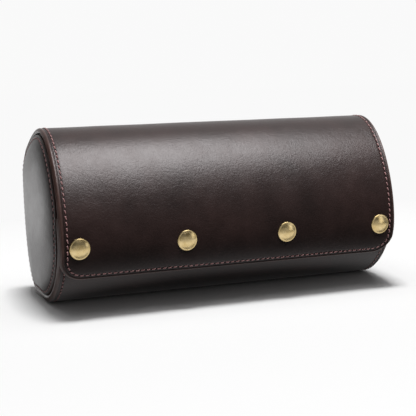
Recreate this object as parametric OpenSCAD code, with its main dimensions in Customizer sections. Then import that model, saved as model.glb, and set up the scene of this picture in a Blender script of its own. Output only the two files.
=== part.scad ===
// Watch roll for three watches: an oval leather tube with a flap that opens at the
// upper back and closes on the front wall with four press studs.
// +X runs along the roll to the right, +Y to the back and +Z up. The origin lies at the
// middle of the base, under the middle of the closed roll.

/* [Outline] */
// Length over the two ends
roll_l = 220; // [190:1:260]
// Depth of the body without the flap
body_d = 87; // [82:1:100]
// Height of the body's outline without the flap
body_h = 101; // [96:1:115]
// Height of the foremost point, where the press studs sit
front_z = 39.5; // [36:0.5:44]
// Depth of the rearmost point below the top
back_drop = 28.5; // [24:0.5:34]
// Place of the top, behind the middle of the depth or in front of it when negative
top_y = -2; // [-6:1:6]
// Flat of the base in front of the middle
base_front = 5.5; // [3:0.5:10]
// Flat of the base behind the middle
base_back = 13; // [8:0.5:16]

/* [Fullness of the curves] */
// Front above the studs
full_front_up = 0.4; // [0.34:0.01:0.5]
// Top towards the front
full_top_front = 0.56; // [0.45:0.01:0.62]
// Top towards the back
full_top_back = 0.35; // [0.3:0.01:0.45]
// Back towards the top
full_back_up = 0.63; // [0.5:0.01:0.7]
// Back towards the base
full_back_down = 0.39; // [0.33:0.01:0.5]
// Base towards the back
full_base_back = 0.72; // [0.6:0.01:0.75]
// Base towards the front
full_base_front = 0.53; // [0.45:0.01:0.6]
// Front below the studs
full_front_down = 0.42; // [0.35:0.01:0.5]

/* [Layers] */
// Leather of the body, the flap and the end panels
leather_t = 1.4; // [1.2:0.1:1.8]
// Stiffener board in the wall of the body
body_board_t = 1.6; // [1.2:0.1:2.2]
// Suede lining of the body
lining_t = 1; // [0.6:0.1:1.4]
// Stiffener in the flap
flap_board_t = 0.6; // [0.4:0.1:1]
// Suede lining of the flap
flap_lining_t = 0.8; // [0.6:0.1:1.2]
// Width of the sewn rims, where no stiffener lies
rim_w = 6; // [5.4:0.1:8]

/* [Flap] */
// Height of the outline where the flap ends on the front
flap_edge_z = 21.3; // [17:0.1:25]
// Depth of the flap's hinge below the top
hinge_drop = 11.4; // [8:0.1:14]
// Radius of the flap's two lower corners
flap_corner_r = 14; // [9:0.5:17]
// Space between the closed flap and the front wall
flap_gap = 0.9; // [0.6:0.1:1.4]
// Seam between the flap and the back wall at the hinge
hinge_seam = 0.3; // [0.2:0.05:0.5]

/* [Front wall] */
// Height of the front wall under the flap
front_wall_h = 58; // [54:1:64]

/* [Ends and dividers] */
// Depth of the end panels behind the rim of the tube
end_recess = 0.6; // [0.3:0.1:2]
// Board in the end panels
end_board_t = 2; // [1.4:0.1:3]
// Space between the end panels and the closed flap
end_gap = 0.5; // [0.4:0.1:1.5]
// Board in the dividers
divider_board_t = 2; // [1.4:0.1:3]
// Suede over each side of a divider
divider_cover_t = 1; // [0.6:0.1:1.4]
// Space between the dividers and the closed flap
divider_gap = 4; // [2:0.5:8]

/* [Cushions] */
// Space between a cushion and the panels beside it
cushion_side_gap = 4.6; // [2:0.1:8]
// Space between a cushion's widest height and the walls before and behind it
cushion_wall_gap = 10; // [9:0.5:14]
// Height of a cushion
cushion_h = 52; // [46:1:56]
// Suede sleeve of a cushion
sleeve_t = 1.2; // [0.8:0.1:2]
// Stiff oval panel in each end of a cushion
cushion_end_t = 1.5; // [1:0.1:3]
// Place of the cushions in front of the middle of the body's depth
cushion_ahead = 1.25; // [0:0.25:2.5]
// Clearance under the cushions
cushion_gap = 0.3; // [0.2:0.1:1]

/* [Press studs] */
// Number of press studs
studs_n = 4; // [2:1:4]
// Distance of the outer press studs from the ends of the roll
stud_inset = 11; // [9:0.5:20]
// Diameter of a cap
cap_d = 12.5; // [11:0.5:12.5]
// Height of a cap's dome over its rim
cap_dome = 1.9; // [1:0.1:2.4]
// Height of a cap's rim
cap_rim = 0.5; // [0.3:0.1:0.8]
// Depth to which the cap is pressed into the leather
cap_seat = 0.6; // [0.4:0.1:0.8]
// Diameter of the cap's hollow shank
shank_d = 3.6; // [3:0.1:4]
// Bore of the cap's shank
shank_bore = 2.2; // [1.6:0.1:2.4]
// Diameter of a socket
socket_d = 11; // [10:0.5:11]
// Bore of a socket, which takes the stud
socket_bore = 4.8; // [4.6:0.1:5]
// Clearance between a socket and the front wall
socket_gap = 0.3; // [0.2:0.05:0.4]
// Diameter of the spring wire in a socket
spring_d = 0.5; // [0.3:0.1:0.6]
// Diameter of a stud's flange
stud_d = 10.4; // [9:0.2:10.4]
// Diameter of a stud's head
stud_head_d = 4.2; // [3.8:0.1:4.4]
// Diameter of a stud's neck
stud_neck_d = 3.4; // [3:0.1:3.6]
// Flange thickness of a stud and its post
flange_t = 0.6; // [0.4:0.1:0.8]
// Diameter of the post's flange behind the leather
post_d = 9.4; // [8:0.2:9.6]
// Diameter of the post's pin in the stud
post_pin_d = 2.2; // [1.6:0.1:2.4]
// Sheet metal over the bore of a socket and over the pin of a stud
roof_t = 0.5; // [0.3:0.1:0.6]

/* [Stitching] */
// Distance of the seams from the edges
seam_in = 3.8; // [3:0.1:4]
// Width of a row of thread
thread_w = 0.8; // [0.6:0.1:1]
// Depth of the groove in which the thread lies
thread_t = 0.6; // [0.4:0.1:0.8]

/* [Hidden] */
$fn = 48;
// Longest facet on the outline's curves
facet = 3.6;
// Points on the outline of a cushion
oval_points = 48;
// Exponent of a cushion's outline: 2 is an ellipse, more is squarer
oval_n = 2.2;
// Slack of a pocket round the metal piece that is pressed into it
pocket_slack = 0.05;
// Depth to which a stud's flange sinks into the front wall, below flush
stud_sink = 0.1;
// Space between a stud and the wires and the roof of its socket
snap_slack = 0.05;
// Height of the spring wires over the mouth of a socket
spring_h = 0.7;
// Distance of the wires' ends from the rim of a socket
spring_end_gap = 1;
// Length that cuts run past the pieces that they cut
past = 20;

// Layers counted from the outline of the body, inwards positive
wall_t = leather_t + body_board_t + lining_t;
flap_t = leather_t + flap_board_t + flap_lining_t;
flap_stand = flap_gap + flap_t;
end_t = leather_t + end_board_t + lining_t;
divider_t = divider_board_t + 2 * divider_cover_t;

// The closed roll, caps included, is centred over the origin
cap_stand = cap_rim + cap_dome - cap_seat;
mid_y = (flap_stand + cap_stand) / 2;

// Three compartments, each with its cushion, lie evenly between the two end panels
compartments = 3;
inner_l = roll_l - 2 * (end_recess + end_t);
compartment_l = (inner_l - (compartments - 1) * divider_t) / compartments;
compartment_pitch = compartment_l + divider_t;
divider_x = compartment_pitch / 2;

half_l = roll_l / 2;
stud_pitch = (roll_l - 2 * stud_inset) / (studs_n - 1);
stud_xs = [for (i = [0:studs_n - 1]) (i - (studs_n - 1) / 2) * stud_pitch];

cushion_l = compartment_l - 2 * cushion_side_gap;
cushion_d = body_d - 2 * (wall_t + cushion_wall_gap);
cushion_y = mid_y - cushion_ahead;
cushion_z = wall_t + cushion_gap + cushion_h / 2;

// The outline is a closed chain of five curves, each given by its two ends and the two
// handles between them. Station 0 is the foremost point, 1 the top, 2 the rearmost point,
// 3 and 4 the back and the front of the base's flat, and 5 is station 0 again.
back_z = body_h - back_drop;
front_y = mid_y - body_d / 2;
back_y = mid_y + body_d / 2;
crown_y = mid_y + top_y;
base_1 = mid_y - base_front;
base_2 = mid_y + base_back;
CURVES = [
    [[front_y, front_z],
     [front_y, front_z + full_front_up * (body_h - front_z)],
     [crown_y - full_top_front * (crown_y - front_y), body_h],
     [crown_y, body_h]],
    [[crown_y, body_h],
     [crown_y + full_top_back * (back_y - crown_y), body_h],
     [back_y, back_z + full_back_up * (body_h - back_z)],
     [back_y, back_z]],
    [[back_y, back_z],
     [back_y, back_z - full_back_down * back_z],
     [base_2 + full_base_back * (back_y - base_2), 0],
     [base_2, 0]],
    [[base_2, 0],
     [(2 * base_2 + base_1) / 3, 0],
     [(base_2 + 2 * base_1) / 3, 0],
     [base_1, 0]],
    [[base_1, 0],
     [base_1 - full_base_front * (base_1 - front_y), 0],
     [front_y, front_z - full_front_down * front_z],
     [front_y, front_z]]
];
turns = len(CURVES);

function wrap(u) = u - turns * floor(u / turns);
function curve(u) = CURVES[floor(wrap(u))];
function part_of(u) = wrap(u) - floor(wrap(u));
// Point of the outline at a station
function point(u) =
    let (c = curve(u), t = part_of(u), s = 1 - t)
    s * s * s * c[0] + 3 * s * s * t * c[1] + 3 * s * t * t * c[2] + t * t * t * c[3];
// Speed along the outline at a station
function slope(u) =
    let (c = curve(u), t = part_of(u), s = 1 - t)
    3 * s * s * (c[1] - c[0]) + 6 * s * t * (c[2] - c[1]) + 3 * t * t * (c[3] - c[2]);
// Outward normal at a station
function outward(u) = let (d = slope(u)) [-d[1], d[0]] / norm(d);
// Point at a distance outside the outline
function off(u, o) = point(u) + o * outward(u);
// Station a distance s further along
function along(u, s) = u + s / norm(slope(u));
// Station between lo, the lower end of a stretch, and hi at which it reaches the height z
function at_height(z, lo, hi, n = 24) =
    n == 0 ? (lo + hi) / 2
    : point((lo + hi) / 2)[1] < z ? at_height(z, (lo + hi) / 2, hi, n - 1)
    : at_height(z, lo, (lo + hi) / 2, n - 1);

// Named stations
hinge_u = at_height(body_h - hinge_drop, 2, 1);
flap_back_u = along(hinge_u, -hinge_seam);
flap_edge_u = at_height(flap_edge_z, -1, 0);
wall_top_u = at_height(front_wall_h, 0, 1);
wall_back_u = hinge_u - turns;

// All pieces share these stations, so that layers lie face to face on like facets
BREAKS = [
    wall_back_u, along(wall_back_u, rim_w), -3, -2, -1,
    flap_edge_u, along(flap_edge_u, rim_w), 0,
    along(wall_top_u, -rim_w), wall_top_u, 1,
    along(flap_back_u, -rim_w), flap_back_u, hinge_u
];
function steps(a, b) = max(1, ceil(norm(point(b) - point(a)) / facet));
STATIONS = [
    for (i = [0:len(BREAKS) - 2])
        let (a = BREAKS[i], b = BREAKS[i + 1], n = steps(a, b))
        for (k = [0:n - 1]) a + (b - a) * k / n,
    hinge_u
];
hair = 0.0001;
function between(a, b) = [for (u = STATIONS) if (u > a - hair && u < b + hair) u];

// Stand of the flap's outer face over the outline, fading out from the top to the hinge
function smooth(t) = t * t * (3 - 2 * t);
function stand(u) = flap_stand * (u <= 1 ? 1 : smooth(max(0, (hinge_u - u) / (hinge_u - 1))));

// Edge of a panel inside the tube: on the wall's lining, and under the flap where it is open
function panel_edge(u, gap) =
    u <= wall_top_u + hair ? -wall_t
    : u >= hinge_u - hair ? -wall_t
    : stand(u) - flap_t - gap;

leather_colour = [0.13, 0.07, 0.07];
suede_colour = [0.36, 0.2, 0.15];
board_colour = [0.55, 0.5, 0.42];
brass_colour = [0.72, 0.6, 0.38];
thread_colour = [0.42, 0.13, 0.14];

// Extrudes a shape drawn in Y and Z along X, from x0 to x1
module along_x(x0, x1) {
    translate([x0, 0, 0]) rotate([90, 0, 90]) linear_extrude(x1 - x0) children();
}

// Band between two depths under the body's outline, from station a to station b
module wall_band(d0, d1, a, b) {
    us = between(a, b);
    n = len(us) - 1;
    polygon(concat(
        [for (u = us) off(u, -d0)],
        [for (i = [0:n]) off(us[n - i], -d1)]
    ));
}

// Band between two depths under the outer face of the flap
module flap_band(d0, d1, a, b) {
    us = between(a, b);
    n = len(us) - 1;
    polygon(concat(
        [for (u = us) off(u, stand(u) - d0)],
        [for (i = [0:n]) off(us[n - i], stand(us[n - i]) - d1)]
    ));
}

// Outline of a panel inside the tube, drawn in by an inset
module panel(gap, inset = 0) {
    us = between(wall_back_u, flap_back_u);
    polygon([for (u = us) off(u, panel_edge(u, gap) - inset)]);
}

// Ring on a panel, drawn in by an inset
module panel_ring(gap, inset, w) {
    difference() {
        panel(gap, inset);
        panel(gap, inset + w);
    }
}

// Flap seen from the front, drawn in by an inset: square above, with two round corners below
module flap_plan(inset) {
    reach = half_l - inset;
    r = flap_corner_r - inset;
    low = off(flap_edge_u, flap_stand)[1] + inset;
    translate([-reach, low + r]) square([2 * reach, body_h + past]);
    translate([r - reach, low]) square([2 * (reach - r), body_h]);
    for (s = [-1, 1]) translate([s * (reach - r), low + r]) circle(r);
}

// Block with the flap's plan, through the whole depth of the roll
module flap_block(inset) {
    translate([0, back_y + past, 0]) rotate([90, 0, 0])
        linear_extrude(body_d + 3 * past) flap_plan(inset);
}

// Places the axis of each press stud on the front wall, with local +Z pointing outwards
module at_studs() {
    for (x = stud_xs) translate([x, front_y, front_z]) rotate([90, 0, 0]) children();
}

// Disc on the axis of a press stud, from height a to height b over the front wall
module disc(d, a, b) {
    translate([0, 0, a]) cylinder(h = b - a, d = d);
}

// Heights over the front wall, on the axis of a press stud
leather_in = flap_stand - leather_t;
cap_base = flap_stand - cap_seat;
spring_z = socket_gap + spring_h;
neck_top = spring_z + spring_d / 2 + snap_slack;
head_top = leather_in - roof_t - snap_slack;
pin_top = head_top - roof_t;
stud_seat = flange_t + stud_sink;

// Thread round the body's ends, in its groove near one end
module body_thread(s) {
    x = s * (half_l - seam_in);
    along_x(x - thread_w / 2, x + thread_w / 2) wall_band(0, thread_t, wall_back_u, wall_top_u);
}

module body_leather() {
    color(leather_colour) difference() {
        union() {
            along_x(-half_l, half_l) wall_band(0, leather_t, wall_back_u, wall_top_u);
            body_rims();
        }
        for (s = [-1, 1]) body_thread(s);
        at_studs() {
            disc(stud_d + 2 * pocket_slack, -stud_seat, past);
            disc(post_pin_d, -past, 0);
            disc(post_d + 2 * pocket_slack, -past, -leather_t);
        }
    }
}

// Turned edges of the leather that close the wall round its board
module body_rims() {
    depth = leather_t + body_board_t;
    for (x = [-half_l, half_l - rim_w]) along_x(x, x + rim_w)
        wall_band(leather_t, depth, wall_back_u, wall_top_u);
    along_x(-half_l, half_l) {
        wall_band(leather_t, depth, wall_back_u, along(wall_back_u, rim_w));
        wall_band(leather_t, depth, along(wall_top_u, -rim_w), wall_top_u);
    }
}

module body_board() {
    color(board_colour) difference() {
        along_x(rim_w - half_l, half_l - rim_w) wall_band(
            leather_t, leather_t + body_board_t,
            along(wall_back_u, rim_w), along(wall_top_u, -rim_w));
        at_studs() disc(post_d + 2 * pocket_slack, -leather_t - flange_t, past);
    }
}

module body_lining() {
    color(suede_colour) along_x(-half_l, half_l)
        wall_band(leather_t + body_board_t, wall_t, wall_back_u, wall_top_u);
}

// Band of the flap's thickness between two depths, trimmed to its plan
module flap_layer(d0, d1, inset, a, b) {
    intersection() {
        along_x(inset - half_l, half_l - inset) flap_band(d0, d1, a, b);
        flap_block(inset);
    }
}

// Row of thread along the flap's two sides and its lower edge
module flap_thread() {
    difference() {
        flap_layer(0, thread_t, seam_in - thread_w / 2, flap_edge_u, 0);
        flap_block(seam_in + thread_w / 2);
    }
    for (s = [-1, 1]) {
        x = s * (half_l - seam_in);
        along_x(x - thread_w / 2, x + thread_w / 2) flap_band(0, thread_t, 0, flap_back_u);
    }
}

module flap_leather() {
    rim_d = leather_t + flap_board_t;
    color(leather_colour) difference() {
        union() {
            flap_layer(0, leather_t, 0, flap_edge_u, flap_back_u);
            difference() {
                flap_layer(leather_t, rim_d, 0, flap_edge_u, flap_back_u);
                flap_board_blank();
            }
        }
        flap_thread();
        at_studs() {
            disc(cap_d + 2 * pocket_slack, cap_base, past);
            disc(shank_d, 0, past);
            disc(socket_d + 2 * pocket_slack, 0, leather_in);
        }
    }
}

// The flap's stiffener before the sockets' holes are punched
module flap_board_blank() {
    flap_layer(leather_t, leather_t + flap_board_t, rim_w,
        along(flap_edge_u, rim_w), along(flap_back_u, -rim_w));
}

module flap_board() {
    color(board_colour) difference() {
        flap_board_blank();
        at_studs() disc(socket_d + 2 * pocket_slack, 0, past);
    }
}

module flap_lining() {
    color(suede_colour) difference() {
        flap_layer(leather_t + flap_board_t, flap_t, 0, flap_edge_u, flap_back_u);
        at_studs() disc(socket_d + 2 * pocket_slack, 0, past);
    }
}

// Mirrors what is built at the left end to the side s
module at_end(s) {
    mirror([s > 0 ? 1 : 0, 0, 0]) children();
}

// Outer faces of the left end panel's leather, board and lining
end_x = end_recess - half_l;
end_board_x = end_x + leather_t;
end_lining_x = end_board_x + end_board_t;

module end_thread(s) {
    color(thread_colour) at_end(s) along_x(end_x, end_x + thread_t)
        panel_ring(end_gap, seam_in - thread_w / 2, thread_w);
}

module end_leather(s) {
    color(leather_colour) at_end(s) {
        along_x(end_x, end_x + thread_t) difference() {
            panel(end_gap);
            panel_ring(end_gap, seam_in - thread_w / 2, thread_w);
        }
        along_x(end_x + thread_t, end_x + leather_t) panel(end_gap);
        along_x(end_board_x, end_lining_x) panel_ring(end_gap, 0, rim_w);
    }
}

module end_board(s) {
    color(board_colour) at_end(s) along_x(end_board_x, end_lining_x) panel(end_gap, rim_w);
}

module end_lining(s) {
    color(suede_colour) at_end(s) along_x(end_lining_x, end_x + end_t) panel(end_gap);
}

// Board of a divider: it stands on the lining and ends a rim below the cover's top
module divider_board_shape() {
    us = between(wall_back_u, flap_back_u);
    function edge(u) = panel_edge(u, divider_gap);
    polygon([for (u = us) off(u, edge(u) - (edge(u) > -wall_t ? rim_w : 0))]);
}

module divider_board(s) {
    x = s * divider_x;
    color(board_colour) along_x(x - divider_board_t / 2, x + divider_board_t / 2)
        divider_board_shape();
}

module divider_cover(s) {
    x = s * divider_x;
    color(suede_colour) difference() {
        along_x(x - divider_t / 2, x + divider_t / 2) panel(divider_gap);
        along_x(x - divider_board_t / 2, x + divider_board_t / 2) divider_board_shape();
    }
}

// Outline of a cushion, drawn in by an inset
module cushion_oval(inset = 0) {
    function power(v) = sign(v) * pow(abs(v), 2 / oval_n);
    translate([cushion_y, cushion_z]) polygon([
        for (i = [0:oval_points - 1]) let (a = 360 * i / oval_points)
            [(cushion_d / 2 - inset) * power(cos(a)), (cushion_h / 2 - inset) * power(sin(a))]
    ]);
}

module cushion_sleeve(k) {
    x = k * compartment_pitch;
    color(suede_colour) along_x(x - cushion_l / 2, x + cushion_l / 2) difference() {
        cushion_oval();
        cushion_oval(sleeve_t);
    }
}

module cushion_core(k) {
    x = k * compartment_pitch;
    reach = cushion_l / 2 - cushion_end_t;
    color("beige") along_x(x - reach, x + reach) cushion_oval(sleeve_t);
}

module cushion_ends(k) {
    x = k * compartment_pitch;
    color(suede_colour) for (s = [-1, 1]) {
        outer = x + s * cushion_l / 2;
        inner = outer - s * cushion_end_t;
        along_x(min(outer, inner), max(outer, inner)) cushion_oval(sleeve_t);
    }
}

// Half section of a dome over a disc of diameter d, with a rim of height h
module dome_profile(d, h, rise) {
    r = (d * d / 4 + rise * rise) / (2 * rise);
    square([d / 2, h]);
    intersection() {
        translate([0, h + rise - r]) circle(r, $fn = 180);
        translate([0, h]) square([d / 2, rise]);
    }
}

module snap_caps() {
    color(brass_colour) at_studs() difference() {
        union() {
            translate([0, 0, cap_base]) rotate_extrude() dome_profile(cap_d, cap_rim, cap_dome);
            disc(shank_d, leather_in - roof_t, cap_base);
        }
        disc(shank_bore, 0, cap_base);
    }
}

// Two wires that cross a socket beside its bore and grip the stud's neck
module spring_wires() {
    reach = socket_d / 2 - spring_end_gap;
    off_axis = stud_neck_d / 2 + 2 * snap_slack + spring_d / 2;
    for (s = [-1, 1]) translate([-reach, s * off_axis, spring_z]) rotate([0, 90, 0])
        cylinder(h = 2 * reach, d = spring_d, $fn = 16);
}

module snap_sockets() {
    color(brass_colour) at_studs() difference() {
        disc(socket_d, socket_gap, leather_in);
        disc(socket_bore, 0, leather_in - roof_t);
        disc(shank_d, 0, past);
        spring_wires();
    }
}

module snap_springs() {
    color("silver") at_studs() spring_wires();
}

module snap_studs() {
    color(brass_colour) at_studs() difference() {
        union() {
            disc(stud_d, -stud_seat, flange_t - stud_seat);
            disc(stud_neck_d, flange_t - stud_seat, neck_top);
            disc(stud_head_d, neck_top, head_top);
        }
        disc(post_pin_d, -past, pin_top);
    }
}

module snap_posts() {
    color(brass_colour) at_studs() {
        disc(post_d, -leather_t - flange_t, -leather_t);
        disc(post_pin_d, -leather_t, pin_top);
    }
}

body_leather();
body_board();
body_lining();
flap_leather();
flap_board();
flap_lining();
end_leather(-1);  // left_end_leather
end_board(-1);  // left_end_board
end_lining(-1);  // left_end_lining
end_leather(1);  // right_end_leather
end_board(1);  // right_end_board
end_lining(1);  // right_end_lining
divider_board(-1);  // left_divider_board
divider_cover(-1);  // left_divider_cover
divider_board(1);  // right_divider_board
divider_cover(1);  // right_divider_cover
cushion_sleeve(-1);  // left_cushion_sleeve
cushion_core(-1);  // left_cushion_core
cushion_ends(-1);  // left_cushion_ends
cushion_sleeve(0);  // centre_cushion_sleeve
cushion_core(0);  // centre_cushion_core
cushion_ends(0);  // centre_cushion_ends
cushion_sleeve(1);  // right_cushion_sleeve
cushion_core(1);  // right_cushion_core
cushion_ends(1);  // right_cushion_ends
snap_caps();
snap_sockets();
snap_springs();
snap_studs();
snap_posts();
color(thread_colour) flap_thread();  // flap_stitching
color(thread_colour) body_thread(-1);  // left_body_stitching
color(thread_colour) body_thread(1);  // right_body_stitching
end_thread(-1);  // left_end_stitching
end_thread(1);  // right_end_stitching
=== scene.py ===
import math

import bmesh
import bpy
import numpy as np
from mathutils import Matrix, Vector


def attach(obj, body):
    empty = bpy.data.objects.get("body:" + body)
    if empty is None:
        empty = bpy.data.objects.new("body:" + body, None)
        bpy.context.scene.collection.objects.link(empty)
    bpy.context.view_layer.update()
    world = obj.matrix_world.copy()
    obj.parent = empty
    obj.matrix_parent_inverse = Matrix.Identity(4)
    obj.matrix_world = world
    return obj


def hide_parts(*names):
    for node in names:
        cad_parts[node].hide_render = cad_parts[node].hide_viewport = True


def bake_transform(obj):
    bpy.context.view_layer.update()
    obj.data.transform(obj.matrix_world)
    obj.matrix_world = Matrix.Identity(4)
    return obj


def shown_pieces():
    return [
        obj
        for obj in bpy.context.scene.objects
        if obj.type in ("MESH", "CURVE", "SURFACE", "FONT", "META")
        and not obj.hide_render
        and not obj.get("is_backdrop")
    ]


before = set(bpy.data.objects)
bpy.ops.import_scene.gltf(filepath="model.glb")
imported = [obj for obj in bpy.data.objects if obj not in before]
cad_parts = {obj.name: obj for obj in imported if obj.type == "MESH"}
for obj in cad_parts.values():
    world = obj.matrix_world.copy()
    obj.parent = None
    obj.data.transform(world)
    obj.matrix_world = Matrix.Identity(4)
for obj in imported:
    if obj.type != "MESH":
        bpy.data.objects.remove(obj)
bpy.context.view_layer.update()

MM = 0.001

# The section of the roll in millimetres, the same named sizes as in the CAD source.
HALF_LENGTH = 110.0
BODY_DEPTH = 87.0
BODY_HEIGHT = 101.0
FRONT_Z = 39.5
BACK_Z = BODY_HEIGHT - 28.5
WALL = 4.0
FLAP = 2.8
FLAP_STAND = 3.7
FLAP_EDGE_Z = 21.3
FLAP_CORNER = 14.0
FRONT_WALL_Z = 58.0
CORNER_X = HALF_LENGTH - FLAP_CORNER
HINGE_Z = BODY_HEIGHT - 11.4
SEAM_IN = 3.8
CAP_PROUD = 1.8
CAP_SUNK = 0.6
MID_Y = (FLAP_STAND + CAP_PROUD) / 2
FRONT_Y = MID_Y - BODY_DEPTH / 2
BACK_Y = MID_Y + BODY_DEPTH / 2
CROWN_Y = MID_Y - 2.0
BASE_FRONT_Y = MID_Y - 5.5
BASE_BACK_Y = MID_Y + 13.0
END_FACE_X = HALF_LENGTH - 0.6
END_LINING_X = 105.0
PITCH = 71.33
STUD_X = (-99.0, -33.0, 33.0, 99.0)
CAP_BASE_Y = FRONT_Y - (FLAP_STAND - CAP_SUNK)
CUSHION_LENGTH = 58.13
CUSHION_DEPTH = 59.0
CUSHION_HEIGHT = 52.0
CUSHION_Y = 1.5
CUSHION_Z = 30.3

# The section's five curves: where each starts, and how far its two handles reach towards its other end.
STARTS = np.array([(FRONT_Y, FRONT_Z), (CROWN_Y, BODY_HEIGHT), (BACK_Y, BACK_Z), (BASE_BACK_Y, 0),
                   (BASE_FRONT_Y, 0)])
FIRST_REACH = np.array([(0, 0.4), (0.35, 0), (0, 0.39), (1 / 3, 0), (0.53, 0)])
LAST_REACH = np.array([(0.56, 0), (0, 0.63), (0.72, 0), (1 / 3, 0), (0, 0.42)])
ENDS = np.roll(STARTS, -1, axis=0)
CHORDS = ENDS - STARTS
BEZIER = np.stack([STARTS, STARTS + FIRST_REACH * CHORDS, ENDS - LAST_REACH * CHORDS, ENDS], 1)

# How finely the section is sampled to find a height, to lay out a band and to measure round it.
STATION_SAMPLES = 4001
RUN_SAMPLES = 4000
EDGE_SAMPLES = 6001
ARC_SAMPLES = 8001


def curve_parts(u):
    """The four control points of the curve under each station, and how far along that curve it is."""
    u = np.asarray(u, float)
    k = np.floor(u).astype(int) % len(BEZIER)
    t = (u - np.floor(u))[..., None]
    p = BEZIER[k]
    return p[..., 0, :], p[..., 1, :], p[..., 2, :], p[..., 3, :], t


def outline(u):
    """Points (y, z) of the section. Station 0 is foremost, 1 the top, 2 rearmost, 3 to 4 the base."""
    a, b, c, d, t = curve_parts(u)
    return a * (1 - t) ** 3 + 3 * b * (1 - t) ** 2 * t + 3 * c * (1 - t) * t ** 2 + d * t ** 3


def outward(u):
    """Unit normals of the section that point out of the roll."""
    a, b, c, d, t = curve_parts(u)
    g = (b - a) * (1 - t) ** 2 + 2 * (c - b) * (1 - t) * t + (d - c) * t ** 2
    n = np.stack([-g[..., 1], g[..., 0]], -1)
    return n / np.linalg.norm(n, axis=-1, keepdims=True)


def station(low, high, z):
    """The station between low and high where the section is at height z."""
    u = np.linspace(low, high, STATION_SAMPLES)
    return float(u[np.argmin(abs(outline(u)[:, 1] - z))])


def smooth(t):
    """0 below 0, 1 above 1, and a smooth step between."""
    t = np.clip(t, 0, 1)
    return t * t * (3 - 2 * t)


def distances(points):
    """How far along a line of points each of them lies."""
    return np.r_[0, np.cumsum(np.linalg.norm(np.diff(points, axis=0), axis=1))]


HINGE_U = station(1, 2, HINGE_Z)
WALL_TOP_U = station(0, 1, FRONT_WALL_Z)
FLAP_EDGE_U = station(-1, 0, FLAP_EDGE_Z)
BACK_FOOT_U = 3 - 1e-6
THINNING = 0.10


def stand(u):
    """How far the flap's outer face stands over the body's section."""
    u = np.asarray(u, float)
    return FLAP_STAND * np.where(u <= 1, 1.0, smooth((HINGE_U - u) / (HINGE_U - 1)))


class Run:
    """A band of leather along the section: where it is by the distance s run along its outer face."""

    def __init__(self, start, end, lift, thick):
        u = np.linspace(start, end, RUN_SAMPLES)
        p = outline(u) + outward(u) * lift(u)[:, None]
        g = np.gradient(p, u, axis=0)
        n = np.stack([-g[:, 1], g[:, 0]], -1)
        self.u = u
        self.p = p
        self.n = n / np.linalg.norm(n, axis=1, keepdims=True)
        self.s = distances(p)
        self.t = thick(u)
        self.length = float(self.s[-1])

    def at_u(self, u):
        order = np.argsort(self.u)
        return float(np.interp(u, self.u[order], self.s[order]))

    def thick(self, s):
        return np.interp(s, self.s, self.t)

    def height(self, s):
        return np.interp(s, self.s, self.p[:, 1])

    def normal(self, s):
        n = np.stack([np.interp(s, self.s, self.n[:, k]) for k in (0, 1)], -1)
        return n / np.linalg.norm(n, axis=-1, keepdims=True)

    def place(self, x, s, depth):
        """The point at x along the roll, s along the band and depth below its outer face, in metres."""
        x, s, depth = np.broadcast_arrays(np.asarray(x, float), s, depth)
        n = self.normal(s)
        y = np.interp(s, self.s, self.p[:, 0]) - n[..., 0] * depth
        z = self.height(s) - n[..., 1] * depth
        return np.stack([x, y, z], -1) * MM


def back_lift(u):
    return np.where(u < HINGE_U, stand(u), 0.0)


def back_thick(u):
    """The wall's thickness, which thins to the flap's just before the hinge."""
    return WALL - (WALL - FLAP) * smooth((HINGE_U + THINNING - u) / THINNING)


BACK_RUN = Run(BACK_FOOT_U, FLAP_EDGE_U, back_lift, back_thick)
FRONT_RUN = Run(-2, WALL_TOP_U, lambda u: u * 0.0, lambda u: u * 0 + WALL)


# Meshes

MERGE_DISTANCE = 2e-6


def new_object(name, data):
    obj = bpy.data.objects.new(name, data)
    bpy.context.scene.collection.objects.link(obj)
    return obj


def new_mesh(name, verts, faces, uvs, marks, materials, index):
    """A mesh from arrays. A mark is a vertex's distance from the cut edge, in metres like the UVs."""
    mesh = bpy.data.meshes.new(name)
    mesh.from_pydata([tuple(v) for v in verts], [], [tuple(f) for f in faces])
    layer = mesh.uv_layers.new(name="flat")
    loops = np.array([l.vertex_index for l in mesh.loops])
    layer.data.foreach_set("uv", np.asarray(uvs, np.float32)[loops].ravel())
    if marks is not None:
        mark = mesh.attributes.new("edge", "FLOAT", "POINT")
        mark.data.foreach_set("value", np.asarray(marks, np.float32))
    for material in materials:
        mesh.materials.append(material)
    mesh.polygons.foreach_set("material_index", np.asarray(index, np.int32))
    mesh.polygons.foreach_set("use_smooth", [True] * len(mesh.polygons))
    return new_object(name, mesh)


def close_up(obj, join):
    """Joins the patches of a mesh where asked, closes its open ends and turns all faces outward."""
    bm = bmesh.new()
    bm.from_mesh(obj.data)
    if join:
        bmesh.ops.remove_doubles(bm, verts=bm.verts, dist=MERGE_DISTANCE)
    open_edges = [e for e in bm.edges if e.is_boundary]
    if open_edges:
        bmesh.ops.edgeloop_fill(bm, edges=open_edges)
    bmesh.ops.recalc_face_normals(bm, faces=bm.faces)
    bm.to_mesh(obj.data)
    bm.free()
    return obj


def grid_faces(base, rows, cols, around):
    """Faces between rows of vertices, of which base is the first. around joins the ends of each row."""
    faces = []
    for a in range(base, base + (rows - 1) * cols, cols):
        for j in range(cols if around else cols - 1):
            k = (j + 1) % cols
            faces.append((a + j, a + k, a + cols + k, a + cols + j))
    return faces


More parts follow.
